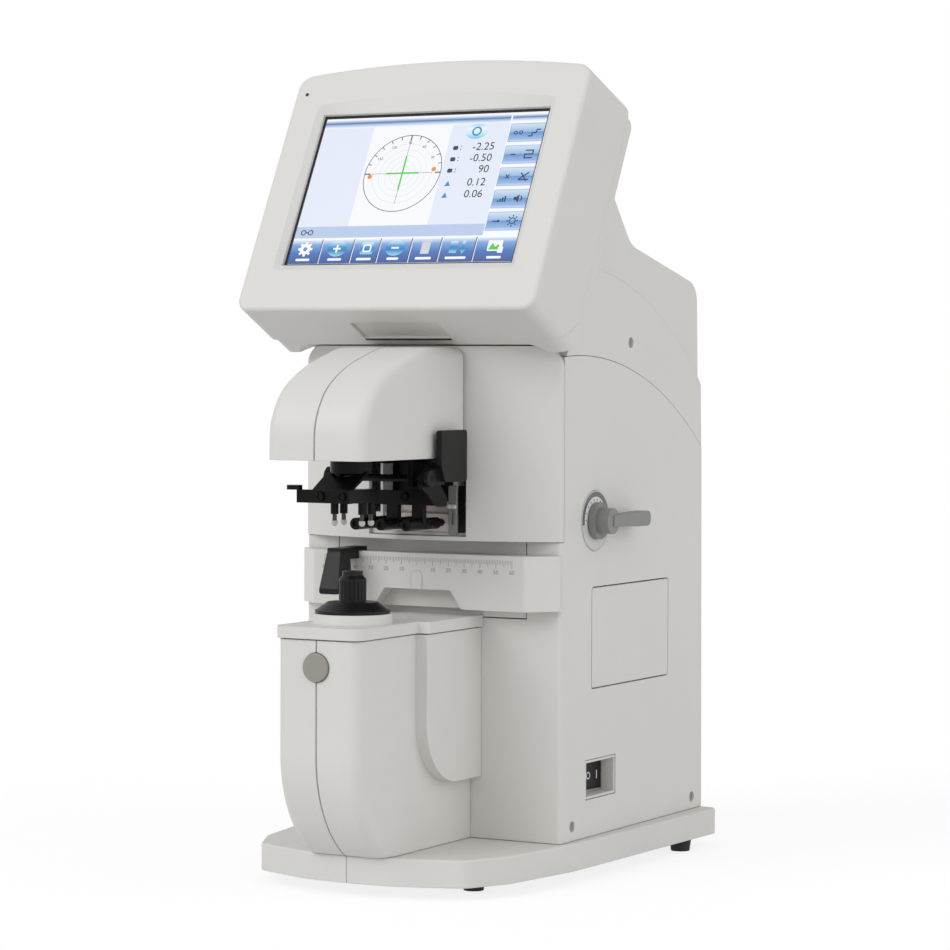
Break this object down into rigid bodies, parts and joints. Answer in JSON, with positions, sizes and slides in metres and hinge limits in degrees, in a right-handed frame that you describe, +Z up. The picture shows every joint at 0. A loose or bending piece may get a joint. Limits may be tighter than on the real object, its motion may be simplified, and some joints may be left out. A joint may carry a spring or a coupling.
{
  "type": "auto lensmeter",
  "caption": "Bench auto lensmeter with tilting touch screen, hood with lens pins, marker pens, sliding frame table with lever, nosepiece on a nose housing, and column on a footed base.",
  "frame": {"origin": "middle of the footprint on the desk, under the rubber feet", "axes": "+X to the right of someone facing the screen, +Y to the back, +Z up"},
  "size_m": [0.188, 0.3086, 0.4559],
  "materials": {
    "shell_plastic": "fine texture, satin",
    "cap_plastic": "satin",
    "black_plastic": "satin",
    "dark_metal": "black anodised, satin",
    "grey_plastic": "satin",
    "lever_plastic": "satin",
    "steel": "brushed",
    "zinc_plate": "zinc plated",
    "cast_aluminium": "machined casting",
    "rubber": "matt",
    "optical_glass": "polished",
    "screen_glass": "polished",
    "screen_panel": "lit panel",
    "board_green": "circuit board",
    "ink_felt": "felt",
    "dial_print": "printed dial",
    "supply_metal": "sheet metal"
  },
  "bodies": {
    "housing": {"base_cover_left": "shell_plastic", "base_cover_right": "shell_plastic", "left_side_cover": "shell_plastic", "right_side_cover": "shell_plastic", "front_panel": "shell_plastic", "upper_front_panel": "shell_plastic", "upper_cover": "shell_plastic", "rear_cover": "shell_plastic", "printer_blank_cover": "shell_plastic", "nose_left_shell": "shell_plastic", "nose_right_shell": "shell_plastic", "hood_left_shell": "shell_plastic", "hood_right_shell": "shell_plastic", "ink_tray": "shell_plastic", "nose_cap": "cap_plastic", "switch_frame": "cap_plastic", "nosepiece": "black_plastic", "power_inlet": "black_plastic", "marker_bracket": "dark_metal", "light_tube": "dark_metal", "receiver_tube": "dark_metal", "screw_plugs": "grey_plastic", "chassis_plate": "zinc_plate", "hinge_bracket": "zinc_plate", "hood_bottom_plate": "zinc_plate", "aperture_plate": "zinc_plate", "optical_frame": "cast_aluminium", "table_guide_blocks": "cast_aluminium", "rubber_feet": "rubber", "condenser_lens": "optical_glass", "receiver_lens": "optical_glass", "main_board": "board_green", "sensor_board": "board_green", "button_switch_board": "board_green", "led_module": "board_green", "ink_pad": "ink_felt", "dial_plate": "dial_print", "power_supply": "supply_metal"},
    "table": {"frame_table": "shell_plastic", "table_guide_rods": "steel", "table_rack": "steel"},
    "lever": {"table_lever": "lever_plastic", "table_pinion": "lever_plastic"},
    "slider": {"bridge_slider": "black_plastic"},
    "holder": {"lens_holder": "dark_metal", "holder_screws": "dark_metal"},
    "pin_left_front": {"holder_pin_left_front": "dark_metal"},
    "pin_left_rear": {"holder_pin_left_rear": "dark_metal"},
    "pin_right_front": {"holder_pin_right_front": "dark_metal"},
    "pin_right_rear": {"holder_pin_right_rear": "dark_metal"},
    "marker": {"marker_shaft": "dark_metal", "marker_arm": "dark_metal", "marker_pens": "dark_metal", "marking_lever": "black_plastic"},
    "button": {"read_button": "grey_plastic"},
    "display": {"display_bezel": "shell_plastic", "display_rear_shell": "shell_plastic", "lcd_panel": "screen_panel", "touch_glass": "screen_glass"},
    "rocker": {"power_rocker": "black_plastic"}
  },
  "joints": [
    {"name": "table_slide", "type": "slide", "parent": "housing", "child": "table", "axis": [0, -1, 0], "range_m": [0, 0.01884]},
    {"name": "lever_turn", "type": "hinge", "parent": "housing", "child": "lever", "pos_m": [0, 0.0106, 0.199], "axis": [-1, 0, 0], "range_deg": [0, 90]},
    {"name": "bridge_slide", "type": "slide", "parent": "table", "child": "slider", "axis": [1, 0, 0], "range_m": [-0.018, 0.102]},
    {"name": "lens_holder_slide", "type": "slide", "parent": "housing", "child": "holder", "axis": [0, 0, -1], "range_m": [0, 0.018]},
    {"name": "marker_swing", "type": "hinge", "parent": "housing", "child": "marker", "pos_m": [0, -0.0897, 0.2243], "axis": [-1, 0, 0], "range_deg": [0, 90], "stiffness_Nm_per_rad": 0.05, "springref_deg": -45.84},
    {"name": "read_button_press", "type": "slide", "parent": "housing", "child": "button", "axis": [0, 1, 0], "range_m": [0, 0.0012], "stiffness_N_per_m": 500, "springref_m": -0.001},
    {"name": "screen_tilt", "type": "hinge", "parent": "housing", "child": "display", "pos_m": [0, 0.0266, 0.37], "axis": [-1, 0, 0], "range_deg": [0, 20]},
    {"name": "power_switch_rock", "type": "hinge", "parent": "housing", "child": "rocker", "pos_m": [0.068, 0.026, 0.0542], "axis": [0, 0, 1], "range_deg": [0, 14]},
    {"name": "pin_left_front_press", "type": "slide", "parent": "holder", "child": "pin_left_front", "axis": [0, 0, 1], "range_m": [0, 0.0025], "stiffness_N_per_m": 80, "springref_m": -0.001},
    {"name": "pin_left_rear_press", "type": "slide", "parent": "holder", "child": "pin_left_rear", "axis": [0, 0, 1], "range_m": [0, 0.0025], "stiffness_N_per_m": 80, "springref_m": -0.001},
    {"name": "pin_right_front_press", "type": "slide", "parent": "holder", "child": "pin_right_front", "axis": [0, 0, 1], "range_m": [0, 0.0025], "stiffness_N_per_m": 80, "springref_m": -0.001},
    {"name": "pin_right_rear_press", "type": "slide", "parent": "holder", "child": "pin_right_rear", "axis": [0, 0, 1], "range_m": [0, 0.0025], "stiffness_N_per_m": 80, "springref_m": -0.001}
  ],
  "couplings": [
    {"joint": "lever_turn", "follows": "table_slide", "rad_per_m": 83.333}
  ]
}
